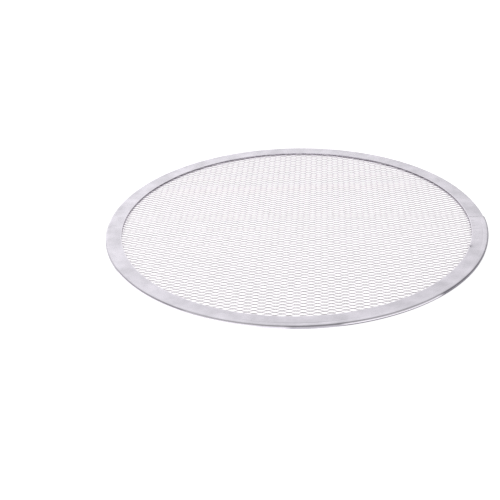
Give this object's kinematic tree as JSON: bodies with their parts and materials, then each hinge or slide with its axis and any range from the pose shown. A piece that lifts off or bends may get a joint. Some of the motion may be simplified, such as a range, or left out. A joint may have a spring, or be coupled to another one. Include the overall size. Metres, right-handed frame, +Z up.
{
  "type": "pizza screen",
  "caption": "Round, flat pizza screen: a disc of expanded aluminium mesh held in a folded, crimped and lapped aluminium rim.",
  "frame": {"origin": "centre of the screen on the plane it rests on", "axes": "+Z up, through the screen's centre; +X towards the lap of the rim; the diamonds of the mesh are long along X"},
  "size_m": [0.3055, 0.3048, 0.003],
  "materials": {
    "rim": "satin rolled sheet, faintly mottled",
    "mesh": "satin slit and stretched sheet"
  },
  "bodies": {
    "root": {"rim": "rim", "mesh": "mesh"}
  },
  "joints": []
}
